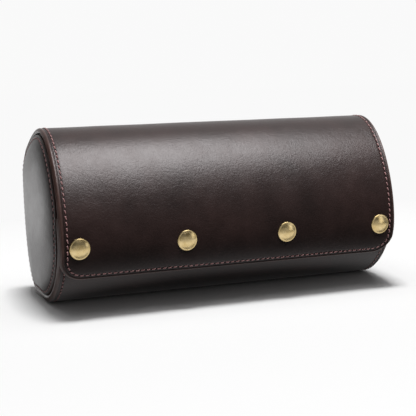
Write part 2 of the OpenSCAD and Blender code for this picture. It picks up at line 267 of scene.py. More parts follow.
class Patches:
    """Collects grids of points as one mesh."""

    def __init__(self):
        self.verts, self.uvs, self.marks, self.faces, self.index = [], [], [], [], []

    def grid(self, points, uv, mark, material=0, around=False):
        """points[i][j]; material is a number, or one for each column of faces. around closes j."""
        rows, cols = points.shape[:2]
        base = len(self.verts)
        self.verts.extend(points.reshape(-1, 3))
        self.uvs.extend(np.broadcast_to(uv, (rows, cols, 2)).reshape(-1, 2))
        self.marks.extend(np.broadcast_to(mark, (rows, cols)).reshape(-1))
        faces = grid_faces(base, rows, cols, around)
        self.faces += faces
        self.index += [material] * len(faces) if isinstance(material, int) else material * (rows - 1)
        return base

    def fan(self, ring_start, count, point, uv, mark):
        """Closes a ring of vertices with triangles to a point."""
        tip = len(self.verts)
        self.verts.append(point)
        self.uvs.append(uv)
        self.marks.append(mark)
        for j in range(count):
            self.faces.append((ring_start + j, ring_start + (j + 1) % count, tip))
            self.index.append(0)

    def build(self, name, materials):
        obj = new_mesh(name, self.verts, self.faces, self.uvs, self.marks, materials, self.index)
        return close_up(obj, join=True)


def spread(start, end, step):
    """Even values from start to end, about a step apart."""
    return list(np.linspace(start, end, round((end - start) / step) + 1))


def at_x(x, points):
    """Points or directions (y, z) as (x, y, z)."""
    return np.column_stack([np.full(len(points), x), points])


# Leather shells

LIP_OUT = 1.2
LIP_IN = 0.5
RIM_INSETS = [14, 12, 10, 8.2, 6.8, 5.8, 5.1, 4.6, 4.3, 4.05, 3.8, 3.55, 3.3, 3.0, 2.7, 2.45, 2.3, 2.15,
              2.0, 1.85, 1.65, 1.4, 1.15, 0.9, 0.7, 0.5, 0.32, 0.18, 0.07, 0]
OUTER, CUT, INNER = 0, 1, 2
# The cut edge's bulge: the share of the way through the leather, and how far it stands out there.
EDGE_BULGES = ((0.12, 0.16), (0.3, 0.34), (0.5, 0.42), (0.7, 0.34), (0.88, 0.16))
# The creased line beside the edge, the seam's channel and the rolled edge, as (depth, inset, width).
CREASES = ((0.30, 2.2, 0.33), (0.20, SEAM_IN, 0.7), (-0.10, 1.2, 0.6))
RELIEF_FADE = 0.4
WAVE_DEPTH = 0.085
WAVES_FROM_Z = 2.0
WAVES_GROW_OVER = 14.0
DENT_DEPTH = 0.34
DENT_RADIUS = 5.6
DENT_WIDTH = 2.6
FAR_MARK = 99.0
INNER_UV_SHIFT = 0.7
SHELL_TURN_STEPS = 20
ROW_STEP = 1.6
COLUMN_STEP = 2.4
WALL_CORNER = 1.4
BEND_ROWS_BEFORE = 5
BEND_ROWS_AFTER = 25
BEND_ROW_STEP = 0.6


def lip(inset, radius):
    """How far the rounded edge falls below the face."""
    i = np.clip(inset, 0, radius)
    return radius - np.sqrt(np.maximum(radius ** 2 - (radius - i) ** 2, 0))


def grooves(inset):
    """The depth of the crease, the seam's channel and the rolled edge at an inset from the edge."""
    inset = np.asarray(inset, float)
    return sum(depth * np.exp(-((inset - middle) / width) ** 2) for depth, middle, width in CREASES)


def waves(x, s, z):
    """Slow unevenness of the leather, gone where the roll stands on its base."""
    w = (0.5 * np.sin(x / 17.0 + 1.3 * np.sin(s / 31.0)) * np.sin(s / 23.0 + 0.7)
         + 0.35 * np.sin(x / 9.1 + s / 14.0 + 2.1) + 0.25 * np.sin(x / 6.3 - s / 8.7 + 0.4)
         + 0.3 * np.sin(x / 41.0 - s / 19.0))
    return WAVE_DEPTH * w * smooth((z - WAVES_FROM_Z) / WAVES_GROW_OVER)


def dents(x, s, s_cap):
    """The leather is pressed in a little round each cap."""
    total = 0.0
    for cx in STUD_X:
        r = np.hypot(x - cx, s - s_cap)
        total = total + DENT_DEPTH * np.exp(-(np.maximum(r - DENT_RADIUS, 0) / DENT_WIDTH) ** 2)
    return total


def rim_rows(insets, thick):
    """The profile from the outer face round the edge to the inner one, as rows of inset, depth below the
    outer face, distance for the UV, and OUTER, CUT or INNER."""
    rows = [(i, lip(i, LIP_OUT), i, OUTER) for i in insets]
    for share, bulge in EDGE_BULGES:
        depth = LIP_OUT + (thick - LIP_OUT - LIP_IN) * share
        rows.append((-bulge, depth, -depth, CUT))
    rows += [(i, thick - lip(i, LIP_IN), -thick - i, INNER) for i in reversed(insets)]
    return rows


def band_path(half, s_end, corner, columns, rows, steps):
    """A band's outline up one side, round two corners and down the other: x, s and their inward steps."""
    left = [(-half, s, 1.0, 0.0) for s in rows]
    for k in range(1, steps):
        a = k / steps * math.pi / 2
        left.append((-half + corner - corner * math.cos(a), s_end - corner + corner * math.sin(a),
                     math.cos(a), -math.sin(a)))
    right = [(-x, s, -ix, js) for x, s, ix, js in reversed(left)]
    return left + [(x, s_end, 0.0, -1.0) for x in columns] + right


def shell(name, run, corner, columns, rows, materials, seam_all_round, cap_s=None):
    """A leather-covered band with three rounded edges, which starts square at s = 0. The seam follows all
    three or only the two ends. The caps press the leather in at cap_s."""
    half = HALF_LENGTH
    insets = [i for i in RIM_INSETS if i <= corner]
    kind = [row[3] for row in rim_rows(insets, WALL)]
    outer = np.array(kind) == OUTER
    fixed_mark = np.where(np.array(kind) == CUT, 0, FAR_MARK)

    def relief(x, s, inset):
        depth = grooves(inset) + waves(x, s, run.height(s))
        if cap_s is not None:
            depth = depth + dents(x, s, cap_s)
        return depth

    points, uv, mark = [], [], []
    for bx, bs, ix, js in band_path(half, run.length, corner, columns, rows, SHELL_TURN_STEPS):
        rim = np.array(rim_rows(insets, float(run.thick(bs))))
        inset, depth, along = rim[:, 0], rim[:, 1], rim[:, 2]
        x = bx + ix * inset
        s = bs + js * inset
        near = inset if seam_all_round else half - abs(x)
        uneven = relief(x, s, np.maximum(near, 0)) * smooth(inset / RELIEF_FADE)
        points.append(run.place(x, s, depth + np.where(outer, uneven, 0)))
        uv.append(np.stack([bx + ix * along, bs + js * along], -1) * MM)
        mark.append(np.where(outer, inset, fixed_mark) * MM)
    patches = Patches()
    slots = [1 if CUT in pair else 0 for pair in zip(kind, kind[1:])]
    patches.grid(np.array(points), np.array(uv), np.array(mark), slots)

    x, s = np.meshgrid(columns, rows)
    inset = np.minimum(half - abs(x), FAR_MARK)
    near = np.full_like(x, FAR_MARK) if seam_all_round else inset
    face_uv = np.stack([x, s], -1) * MM
    patches.grid(run.place(x, s, relief(x, s, near)), face_uv, inset * MM)
    patches.grid(run.place(x, s, run.thick(s)), face_uv + np.array([0, INNER_UV_SHIFT]), FAR_MARK * MM)
    return patches.build(name, materials)


def bending_rows(end):
    """Rows along the back and flap, close together where the leather bends."""
    hinge = BACK_RUN.at_u(HINGE_U)
    low, high = hinge - BEND_ROWS_BEFORE, hinge + BEND_ROWS_AFTER
    return (spread(0, low, ROW_STEP)[:-1] + spread(low, high, BEND_ROW_STEP)[:-1]
            + spread(high, end, ROW_STEP))


# Stitches

THREAD_PITCH = 3.4
THREAD_LENGTH = 2.45
FLAP_THREAD_LENGTH = 2.75
THREAD_WIDE = 0.42
THREAD_THICK = 0.30
THREAD_RISE = 0.30
THREAD_DIVE = 0.5
THREAD_ROUND = 10
THREAD_RINGS = 11
THREAD_UV_ROUND = 0.002
# How much stitches differ in width, in length and sideways.
WIDTH_SPREAD, LENGTH_SPREAD, SIDE_SPREAD = 0.07, 0.03, 0.05
AIM_STEP = 0.8
# The dark disc of painted shade for the awl hole past the thread's end: how far past, its height, and its
# rings as (radius, height).
HOLE_PAST = 0.10
HOLE_HEIGHT = 0.01
HOLE_RINGS = ((0.68, -0.12), (0.62, 0.03), (0.34, 0.055))
HOLE_NARROW = 0.75
HOLE_ROUND = 8


def stitch_run(points, normals, slant, sink=None):
    """Even stitches along a line in millimetres: each one's middle, direction, normal and sink."""
    run = distances(points)
    count = int(run[-1] // THREAD_PITCH)
    first = (run[-1] - count * THREAD_PITCH) / 2 + THREAD_PITCH / 2

    def at(rows, m):
        return np.array([np.interp(m, run, rows[:, c]) for c in range(3)])

    found = []
    for k in range(count):
        m = first + k * THREAD_PITCH
        ahead = at(points, m + AIM_STEP) - at(points, m - AIM_STEP)
        ahead /= np.linalg.norm(ahead)
        normal = at(normals, m)
        normal -= ahead * normal.dot(ahead)
        normal /= np.linalg.norm(normal)
        side = np.cross(normal, ahead)
        tilted = ahead * math.cos(slant) + side * math.sin(slant)
        low = 0.0 if sink is None else float(np.interp(m, run, sink))
        found.append((at(points, m), tilted, normal, low))
    return found


def oval(centre, first, second, count):
    """Points round an oval with these half-axes, in metres."""
    angles = [2 * math.pi * j / count for j in range(count)]
    return [(centre + first * math.cos(a) + second * math.sin(a)) * MM for a in angles]


def thread_rings(stitch, wide, long, shift):
    """Points and UVs of one thread, which dives into the leather at both ends."""
    middle, ahead, normal, low = stitch
    side = np.cross(normal, ahead)
    points, uvs = [], []
    for i in range(THREAD_RINGS):
        t = i / (THREAD_RINGS - 1)
        w = 2 * t - 1
        lift = THREAD_RISE * (1 - abs(w) ** 3) - THREAD_DIVE * abs(w) ** 6 - low
        taper = 0.62 + 0.38 * math.sqrt(max(0.0, 1 - abs(w) ** 4))
        centre = middle + ahead * w * long / 2 + normal * lift + side * shift
        points += oval(centre, side * wide * taper, normal * THREAD_THICK * taper, THREAD_ROUND)
        uvs += [(t * long * MM, j / THREAD_ROUND * THREAD_UV_ROUND) for j in range(THREAD_ROUND)]
    return points, uvs


def hole_shade_rings(stitch, end, long, shift):
    """Points and UVs of the dark disc at one end of a thread: painted shade standing for the awl hole."""
    middle, ahead, normal, low = stitch
    side = np.cross(normal, ahead)
    centre = middle + ahead * end * (long / 2 + HOLE_PAST) + normal * (HOLE_HEIGHT - low) + side * shift
    points, uvs = [], []
    for reach, up in HOLE_RINGS:
        points += oval(centre + normal * up, ahead * reach * HOLE_NARROW, side * reach, HOLE_ROUND)
        uvs += [(reach * MM, j * MM) for j in range(HOLE_ROUND)]
    return points, uvs


def tube_faces(base, count, around):
    """Faces of a tube of count vertices in rings, closed at both ends. base is its first vertex."""
    last = base + count - around
    faces = grid_faces(base, count // around, around, True)
    faces.append(tuple(base + j for j in reversed(range(around))))
    faces.append(tuple(last + j for j in range(around)))
    return faces


def stitches(name, run, seed, length=THREAD_LENGTH):
    """A row of threads, each with the two holes it goes through, drawn as dark discs of painted shade."""
    rng = np.random.default_rng(seed)
    verts, faces, uvs, index = [], [], [], []

    def add_tube(rings, around, slot):
        tube = tube_faces(len(verts), len(rings[0]), around)
        verts.extend(rings[0])
        uvs.extend(rings[1])
        faces.extend(tube)
        index.extend([slot] * len(tube))

    for stitch in run:
        wide = THREAD_WIDE * (1 + WIDTH_SPREAD * rng.standard_normal())
        long = length * (1 + LENGTH_SPREAD * rng.standard_normal())
        shift = SIDE_SPREAD * rng.standard_normal()
        add_tube(thread_rings(stitch, wide, long, shift), THREAD_ROUND, 0)
        for end in (-1, 1):
            add_tube(hole_shade_rings(stitch, end, long, shift), HOLE_ROUND, 1)
    return close_up(new_mesh(name, verts, faces, uvs, None, [THREAD, PAINTED_HOLE_SHADE], index), join=False)


# Panels with the section's shape: ends, their linings and dividers

PANEL_COUNT = 300
MIDDLE = np.array([2.0, 50.0])
PANEL_UNDER_STEP = 0.3
PAST_HINGE = 2.0
# A panel's edge lies inside the wall and reaches out to the flap above it: its step from the wall's inner
# face, where the reach starts past the wall's top, and over what lengths it grows and shrinks. The flange,
# the board's own edge, reaches out at once.
PANEL_REACH = (-0.1, -12.0, 22.0, 12.0)
FLANGE_REACH = (0.3, 0.3, 1.6, 8.0)
# Rings of the face: round its seam, at fixed insets, and scaled towards the centre.
SEAM_RINGS = (-1.0, -0.7, -0.45, -0.2, 0.0, 0.2, 0.45, 0.7, 1.0, 1.5)
FACE_RINGS = [4.6, 5.2, 6.0]
BACK_RINGS = (4, 6)
CENTRE_SCALES = [0.97, 0.93, 0.88, 0.82, 0.74, 0.65, 0.55, 0.45, 0.35, 0.25, 0.15, 0.06]
FACE_BORDER = 6
CENTRE_REACH = 32
DOME_REACH = FACE_BORDER + CENTRE_REACH
DOME_POWER = 4
SEAM_WIDTH = 0.55
# Shifts the panels' edge marks so that their rims get little of the leather's rubbed colour and painted
# highlight.
PANEL_RUB_AND_HIGHLIGHT_SHIFT = 1.5
CENTRE_MARK = 36.0
RIM_UV_REACH = 3
END_SEAM_SAMPLES = 1200
END_SEAM_TILT = 0.16

ARC_U = np.linspace(-2, 3, ARC_SAMPLES)
ARC_S = distances(outline(ARC_U))
WALL_TOP_S = float(np.interp(WALL_TOP_U, ARC_U, ARC_S))
HINGE_S = float(np.interp(HINGE_U, ARC_U, ARC_S))


def panel_edge(u, gap, inset, reach=PANEL_REACH):
    """Points (y, z) of a panel's edge, moved in by inset. gap is how far it stays clear of the flap."""
    step, start, grow, shrink = reach
    u = np.asarray(u, float)
    under = stand(np.clip(u, 0, HINGE_U)) - FLAP - gap
    run = np.interp(u, ARC_U, ARC_S)
    rise = smooth((run - WALL_TOP_S - start) / grow)
    fall = smooth((HINGE_S + PAST_HINGE - run) / shrink)
    offset = -WALL + step + (under + WALL - PANEL_UNDER_STEP) * rise * fall - inset
    return outline(u) + outward(u) * offset[..., None]


def panel_stations(gap):
    """Stations evenly spread round a panel's edge."""
    u = np.linspace(-2, 3, EDGE_SAMPLES)
    s = distances(panel_edge(u, gap, 0))
    even = np.arange(PANEL_COUNT) / PANEL_COUNT * s[-1]
    return np.interp(even, s, u)


def panel(name, x_face, way, gap, rim, dome, back, groove, seam, material, flange=False):
    """A covered board that faces way. rim is its edge from the face round to the back, as (inset, height
    over x_face). The face swells by dome towards its middle, and the back is flat at -back."""
    u = panel_stations(gap)
    first = rim[0][0]
    face = sorted(i for i in [seam + d for d in SEAM_RINGS] + FACE_RINGS if i > first + 0.1)

    def swell(inset):
        sunk = groove * math.exp(-((inset - seam) / SEAM_WIDTH) ** 2)
        share = (min(inset, DOME_REACH) - first) / (DOME_REACH - first)
        return rim[0][1] + dome * (1 - (1 - share) ** DOME_POWER) - sunk

    inner = panel_edge(u, gap, FACE_BORDER)
    middle = [(MIDDLE + (inner - MIDDLE) * k, FACE_BORDER + CENTRE_REACH * (1 - k))
              for k in CENTRE_SCALES]
    rings = [(line, swell(i), i) for line, i in reversed(middle)]
    rings += [(panel_edge(u, gap, i), swell(i), i) for i in reversed(face)]
    turn = len(rings)
    length = first
    for k, (i, height) in enumerate(rim):
        if k:
            length -= math.hypot(i - rim[k - 1][0], height - rim[k - 1][1])
        reach = FLANGE_REACH if flange and height < 0 else PANEL_REACH
        rings.append((panel_edge(u, gap, i, reach), height, length))
    rings += [(panel_edge(u, gap, i), -back, length - i) for i in BACK_RINGS]
    rings += [(line, -back, length - i) for line, i in middle]

    points = [at_x(x_face + way * h, line) for line, h, i in rings]
    uv = np.array([line for line, h, i in rings]) * MM
    for k in range(turn, len(rings)):
        uv[k] = (panel_edge(u, gap, 0) - outward(u) * min(rings[k][2], RIM_UV_REACH)) * MM
    mark = np.array([np.full(len(u), max(i, 0) + PANEL_RUB_AND_HIGHLIGHT_SHIFT) for line, h, i in rings]) * MM
    patches = Patches()
    start = patches.grid(np.array(points) * MM, uv, mark, around=True)
    end = start + (len(rings) - 1) * PANEL_COUNT
    for ring, height in ((start, swell(DOME_REACH)), (end, -back)):
        tip = np.array([x_face + way * height, *MIDDLE]) * MM
        patches.fan(ring, PANEL_COUNT, tip, MIDDLE * MM, CENTRE_MARK * MM)
    return patches.build(name, [material])


def panel_seam(x_face, way, gap, height):
    """The line of an end panel's seam, with its normals."""
    u = np.linspace(-2, 3, END_SEAM_SAMPLES)
    points = at_x(x_face + way * height, panel_edge(u, gap, END_SEAM))
    return points, at_x(way, outward(u) * END_SEAM_TILT)


# Cushions

SLEEVE, FACE, PIPING = 0, 1, 2
PAD_ROUND = 144
PAD_ROWS = 24
SLEEVE_SHORT = 2.2
SLEEVE_SCALE = 0.995
SLEEVE_CROWN = 0.055
OVAL_POWER = 2.2
TIP_IN = 1.0
# One end from its middle out, as (distance in from the cushion's end, the oval's scale, surface).
CUSHION_END = [(0.55, 0.25, FACE), (0.35, 0.5, FACE), (0.5, 0.7, FACE), (0.95, 0.82, FACE),
               (1.6, 0.885, FACE), (1.95, 0.905, FACE), (1.75, 0.925, PIPING), (1.35, 0.94, PIPING),
               (1.2, 0.953, PIPING), (1.45, 0.962, PIPING), (1.95, 0.955, PIPING)]
RIPPLE_DEPTH = 0.0045
SLEEVE_SEAM_DEPTH = 0.010
SLEEVE_SEAM_ANGLE = 4.0
SLEEVE_SEAM_WIDTH = 0.03
SLEEVE_RADIUS = 28
FACE_MARK = 0.02


def cushion_rows():
    """A cushion's rings from left to right: x from its middle, the oval's scale and the surface."""
    half = CUSHION_LENGTH / 2
    sleeve = []
    for k in range(PAD_ROWS + 1):
        t = k / PAD_ROWS
        x = -half + SLEEVE_SHORT + (CUSHION_LENGTH - 2 * SLEEVE_SHORT) * t
        sleeve.append((x, SLEEVE_SCALE - SLEEVE_CROWN * abs(2 * t - 1) ** 3.2, SLEEVE))
    left = [(-half + x, scale, kind) for x, scale, kind in CUSHION_END]
    return left + sleeve + [(-x, scale, kind) for x, scale, kind in reversed(left)]


def cushion(name, centre_x, materials):
    """A foam cushion in a suede sleeve: crowned along its length, drawn in at its sewn ends."""
    half = CUSHION_LENGTH / 2
    angle = np.arange(PAD_ROUND) / PAD_ROUND * 2 * math.pi
    power = 2 / OVAL_POWER
    cy = np.sign(np.cos(angle)) * abs(np.cos(angle)) ** power
    cz = np.sign(np.sin(angle)) * abs(np.sin(angle)) ** power
    ripple = np.sin(angle * 19 + 2.0 * math.sin(centre_x)) + 0.6 * np.sin(angle * 31 + centre_x)
    seam = SLEEVE_SEAM_DEPTH * np.exp(-((angle - SLEEVE_SEAM_ANGLE) / SLEEVE_SEAM_WIDTH) ** 2)
    rows = cushion_rows()
    points, uv, mark = [], [], []
    for x, size, kind in rows:
        if kind == SLEEVE:
            size = size * (1 - RIPPLE_DEPTH * ripple * (abs(x) / half) ** 6 - seam)
        y = CUSHION_Y + cy * size * CUSHION_DEPTH / 2
        z = CUSHION_Z + cz * size * CUSHION_HEIGHT / 2
        across = np.full(PAD_ROUND, x)
        points.append(np.column_stack([centre_x + across, y, z]) * MM)
        uv.append(np.column_stack([y, z] if kind == FACE else [across, angle * SLEEVE_RADIUS]) * MM)
        mark.append(np.full(PAD_ROUND, FACE_MARK if kind == FACE else 0.0))
    patches = Patches()
    start = patches.grid(np.array(points), np.array(uv), np.array(mark), around=True)
    kinds = [kind for x, scale, kind in rows]
    piped = [1 if PIPING in pair else 0 for pair in zip(kinds, kinds[1:])]
    patches.index = [slot for slot in piped for j in range(PAD_ROUND)]
    end = start + (len(rows) - 1) * PAD_ROUND
    for ring, x in ((start, -half + TIP_IN), (end, half - TIP_IN)):
        tip = np.array([centre_x + x, CUSHION_Y, CUSHION_Z]) * MM
        patches.fan(ring, PAD_ROUND, tip, tip[1:], FACE_MARK)
    return patches.build(name, materials)


# Caps

CAP_ROUND = 96
CAP_TOP = 2.4
CAP_DOME_RADIUS = 11.2
CAP_DOME_REACH = 5.35
CAP_DOME_STEPS = 21
AXIS_RADIUS = 1e-4
# The cap's bead, rolled edge and flat back, as (radius, height).
CAP_EDGE = [(5.5, 0.985), (5.62, 0.955), (5.74, 0.955), (5.88, 0.94), (6.02, 0.875), (6.14, 0.76),
            (6.22, 0.6), (6.25, 0.42), (6.22, 0.25), (6.1, 0.1), (5.9, 0.0), (5.0, 0.0), (0.0, 0.0)]


def cap_profile():
    """A press stud's cap: a flat dome with a small bead and a rolled edge."""
    dome = []
    for k in range(CAP_DOME_STEPS + 1):
        r = CAP_DOME_REACH * k / CAP_DOME_STEPS
        dome.append((r, CAP_TOP - (CAP_DOME_RADIUS - math.sqrt(CAP_DOME_RADIUS ** 2 - r ** 2))))
    return dome + CAP_EDGE


# Materials

MIX_SHARE, MIX_A, MIX_B, MIX_RESULT = 0, 6, 7, 2


def feed(tree, node, inputs):
    """Links each input to a socket, or sets its value."""
    for key, value in inputs.items():
        if isinstance(value, bpy.types.NodeSocket):
            tree.links.new(value, node.inputs[key])
        else:
            node.inputs[key].default_value = value


def add(tree, kind, inputs=None, **settings):
    node = tree.nodes.new("ShaderNode" + kind)
    for key, value in settings.items():
        setattr(node, key, value)
    feed(tree, node, inputs or {})
    return node


def empty_tree(owner):
    owner.use_nodes = True
    owner.node_tree.nodes.clear()
    return owner.node_tree


def surface(name):
    material = bpy.data.materials.new(name)
    tree = empty_tree(material)
    shader = add(tree, "BsdfPrincipled")
    add(tree, "OutputMaterial", {"Surface": shader.outputs[0]})
    return material, tree, shader


def noise(tree, vector, scale, detail, rough, distortion=0.0):
    return add(tree, "TexNoise", {"Vector": vector, "Scale": scale, "Detail": detail, "Roughness": rough,
                                  "Distortion": distortion}).outputs[0]


def stretched(tree, vector, scale):
    return add(tree, "Mapping", {"Vector": vector, "Scale": scale}).outputs[0]


def ramp(tree, share, stops):
    """A colour ramp through stops of (position, colour)."""
    node = add(tree, "ValToRGB", {"Fac": share})
    elements = node.color_ramp.elements
    while len(elements) < len(stops):
        elements.new(0.5)
    for element, (position, colour) in zip(elements, stops):
        element.position = position
        element.color = (*colour, 1)
    return node.outputs[0]


def grey(tree, share, stops):
    return ramp(tree, share, [(p, (v, v, v)) for p, v in stops])


def times(tree, a, b, plus=0.0):
    """a times b, plus a third value."""
    return add(tree, "Math", {0: a, 1: b, 2: plus}, operation="MULTIPLY_ADD").outputs[0]


def larger(tree, a, b):
    return add(tree, "Math", {0: a, 1: b}, operation="MAXIMUM").outputs[0]


def opaque(colour):
    return colour if isinstance(colour, bpy.types.NodeSocket) else (*colour, 1)


def mix(tree, share, a, b):
    """Colour a where share is 0 and colour b where it is 1."""
    inputs = {MIX_SHARE: share, MIX_A: opaque(a), MIX_B: opaque(b)}
    return add(tree, "Mix", inputs, data_type="RGBA").outputs[MIX_RESULT]


def bump(tree, height, strength, distance):
    return add(tree, "Bump", {"Height": height, "Strength": strength, "Distance": distance}).outputs[0]


def flat_uv(tree):
    return add(tree, "UVMap", uv_map="flat").outputs[0]


def leather_material(name, dark, warm, worn_and_highlight, rough):
    """Smooth waxed leather: fine pores, soft mottling, small wrinkles, and edges made lighter by rubbing
    and by a painted highlight.
    """
    material, tree, shader = surface(name)
    uv = flat_uv(tree)
    mottle = noise(tree, uv, 70.0, 6.0, 0.62)
    cloud = noise(tree, uv, 17.0, 3.0, 0.5)
    fine = noise(tree, uv, 620.0, 3.0, 0.6)
    pores = add(tree, "TexVoronoi", {"Vector": uv, "Scale": 1150.0}).outputs[0]
    wrinkle = noise(tree, uv, 190.0, 5.0, 0.6, 1.4)
    tone = times(tree, cloud, 0.6, times(tree, mottle, 0.5))
    colour = ramp(tree, tone, [(0.38, dark), (0.72, warm)])
    edge = add(tree, "Attribute", attribute_name="edge", attribute_type="GEOMETRY").outputs["Fac"]
    # Painted highlight and wear: within about 2 mm of the cut edge the colour turns lighter. This is partly
    # real rubbing and partly a painted highlight on the rounded lip.
    rub_and_highlight = grey(tree, times(tree, edge, 100.0), [(0.0, 0.9), (0.10, 0.65), (0.20, 0.0), (1.0, 0.0)])
    rubbed_and_highlight = times(tree, rub_and_highlight, grey(tree, mottle, [(0.35, 0.35), (0.65, 1.0)]))
    dull = times(tree, fine, 0.10, rough - 0.13)
    folds = grey(tree, wrinkle, [(0.40, 0.0), (0.50, 1.0), (0.60, 0.0)])
    height = times(tree, folds, -0.30, times(tree, fine, 0.75))
    height = times(tree, pores, 0.22, height)
    height = times(tree, mottle, 1.5, height)
    feed(tree, shader, {"Base Color": mix(tree, rubbed_and_highlight, colour, worn_and_highlight),
                        "Roughness": times(tree, mottle, 0.16, dull),
                        "Specular IOR Level": 0.36, "Specular Tint": (1.0, 0.955, 0.965, 1),
                        "Normal": bump(tree, height, 0.40, 0.0002)})
    return material


def edge_material(name, base, light, specular=0.5):
    """The burnished cut edge: smooth, reddish, with faint streaks along the layers."""
    material, tree, shader = surface(name)
    grain = noise(tree, stretched(tree, flat_uv(tree), (3.0, 1.0, 1.0)), 260.0, 4.0, 0.6)
    feed(tree, shader, {"Base Color": ramp(tree, grain, [(0.3, base), (0.7, light)]),
                        "Roughness": grey(tree, grain, [(0.3, 0.28), (0.7, 0.45)]),
                        "Specular IOR Level": specular, "Normal": bump(tree, grain, 0.4, 0.0001)})
    return material


def suede_material(name, low, high):
    """Brushed suede: a short nap in soft clouds, with single fibres."""
    material, tree, shader = surface(name)
    uv = flat_uv(tree)
    nap = noise(tree, uv, 42.0, 5.0, 0.65, 0.8)
    fibre = noise(tree, stretched(tree, uv, (1.0, 0.35, 1.0)), 1500.0, 3.0, 0.7)
    tone = times(tree, fibre, 0.45, times(tree, nap, 0.6))
    feed(tree, shader, {"Base Color": ramp(tree, tone, [(0.36, low), (0.68, high)]), "Roughness": 0.92,
                        "Sheen Weight": 0.35, "Sheen Roughness": 0.45, "Specular IOR Level": 0.25,
                        "Normal": bump(tree, tone, 0.7, 0.0004)})
    return material


def metal_material(name, low, high, rough, objectwise=False):
    """Satin metal with a faint cloudy patina and fine polishing lines."""
    material, tree, shader = surface(name)
    place = add(tree, "TexCoord").outputs["Object"] if objectwise else flat_uv(tree)
    patina = noise(tree, place, 260.0, 4.0, 0.6)
    lines = noise(tree, stretched(tree, place, (1.0, 9.0, 1.0)), 900.0, 2.0, 0.5)
    feed(tree, shader, {"Base Color": ramp(tree, patina, [(0.3, low), (0.65, high)]), "Metallic": 1.0,
                        "Roughness": times(tree, patina, 0.14, rough - 0.07),
                        "Normal": bump(tree, lines, 0.10, 0.00004)})
    return material


def thread_material(name, low, high):
    """Waxed twisted thread."""
    material, tree, shader = surface(name)
    twist = add(tree, "Mapping", {"Vector": flat_uv(tree), "Rotation": (0.0, 0.0, 0.72)}).outputs[0]
    strands = add(tree, "TexWave", {"Vector": twist, "Scale": 480.0, "Distortion": 0.6},
                  wave_type="BANDS", bands_direction="X").outputs[1]
    feed(tree, shader, {"Base Color": ramp(tree, strands, [(0.15, low), (0.75, high)]), "Roughness": 0.48,
                        "Sheen Weight": 0.15, "Normal": bump(tree, strands, 0.6, 0.00012)})
    return material


LEATHER = leather_material("leather", dark=(0.0105, 0.0062, 0.0056), warm=(0.0210, 0.0108, 0.0096),
                           worn_and_highlight=(0.090, 0.049, 0.041), rough=0.36)
EDGE = edge_material("burnished_edge", base=(0.034, 0.013, 0.010), light=(0.074, 0.030, 0.022))
SUEDE = suede_material("suede", low=(0.150, 0.085, 0.055), high=(0.330, 0.215, 0.150))
SUEDE_PIPING = leather_material("piping", dark=(0.030, 0.018, 0.016), warm=(0.055, 0.030, 0.026),
                                worn_and_highlight=(0.09, 0.05, 0.04), rough=0.45)
BRASS = metal_material("antique_brass", low=(0.60, 0.44, 0.19), high=(0.80, 0.63, 0.34), rough=0.28)
BRASS_PARTS = metal_material("brass_parts", low=(0.44, 0.34, 0.18), high=(0.66, 0.53, 0.31), rough=0.30,
                             objectwise=True)
STEEL = metal_material("spring_wire", low=(0.42, 0.42, 0.43), high=(0.60, 0.60, 0.61), rough=0.28,
                       objectwise=True)
THREAD = thread_material("thread", low=(0.105, 0.040, 0.040), high=(0.260, 0.125, 0.122))
# Painted shade: near-black and almost without reflection, so that the awl holes read as dark shaded dots.
PAINTED_HOLE_SHADE = edge_material("awl_hole_painted_shade", base=(0.006, 0.003, 0.003), light=(0.014, 0.005, 0.005), specular=0.05)


# The roll

# A side's way is the direction along X that it faces.
SIDES = (("left", -1), ("right", 1))


def declare(obj, body, slot, *nodes):
    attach(obj, body)
    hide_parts(*nodes)


def declare_bending(obj, slot, *nodes):
    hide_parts(*nodes)
    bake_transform(obj)


def build_shells():
    rows = bending_rows(BACK_RUN.length - FLAP_CORNER)
    columns = spread(-CORNER_X, CORNER_X, COLUMN_STEP)
    flap = shell("back_and_flap", BACK_RUN, FLAP_CORNER, columns, rows, [LEATHER, EDGE],
                 seam_all_round=True, cap_s=BACK_RUN.at_u(0.0))
    declare_bending(flap, "leather", "flap_leather", "flap_board")
    right = [HALF_LENGTH - i for i in RIM_INSETS if i >= WALL_CORNER]
    columns = [-x for x in reversed(right)] + spread(-right[0], right[0], COLUMN_STEP)[1:-1] + right
    rows = spread(0, FRONT_RUN.length - WALL_CORNER, ROW_STEP)
    wall = shell("front_wall_and_base", FRONT_RUN, WALL_CORNER, columns, rows, [LEATHER, LEATHER],
                 seam_all_round=False)
    declare(wall, "body", "leather", "body_leather", "body_board")


LINING_SHORT = 5.0
LINING_LIP = 0.3
LINING_RAISED = 0.18
LINING_SUNK = 0.45
LINING_INSETS = (8.9, 6, 4, 2.6, 1.9, 1.4, 1.1, 0.8, 0.5, 0.3, 0.15, 0.05, 0)
LINING_TURN_STEPS = 12
LINING_COLUMN_STEP = 2.6
WALL_LINING_STEP = 2.0
# The pressed line along the hem, as (depth, inset, width), and over what distance the puffing starts.
HEM_LINE = (0.10, 1.4, 0.35)
HEM_FADE = 8
# How far the flap's lining stands off beside the hinge, and where.
LOOSE = 0.5
LOOSE_MIDDLE = 9.0
LOOSE_REACH = 20.0
LOOSE_FADE = 8.0


def loose(s):
    """How much further the flap's lining stands off the leather where both bend."""
    away = np.abs(s - BACK_RUN.at_u(HINGE_U) - LOOSE_MIDDLE)
    return LOOSE * smooth((LOOSE_REACH - away) / LOOSE_FADE)


def lining_rim(corner):
    """A lining's profile from its face over its edge to its glued side, as (inset, rise)."""
    insets = [corner] + [i for i in LINING_INSETS if i < corner]
    depth, middle, width = HEM_LINE
    rim = [(i, LINING_RAISED - lip(i, LINING_LIP) - depth * math.exp(-((i - middle) / width) ** 2))
           for i in insets]
    rim += [(0.0, -LINING_SUNK)] + [(i, -LINING_SUNK) for i in reversed(insets[:-1])]
    return np.array(rim)


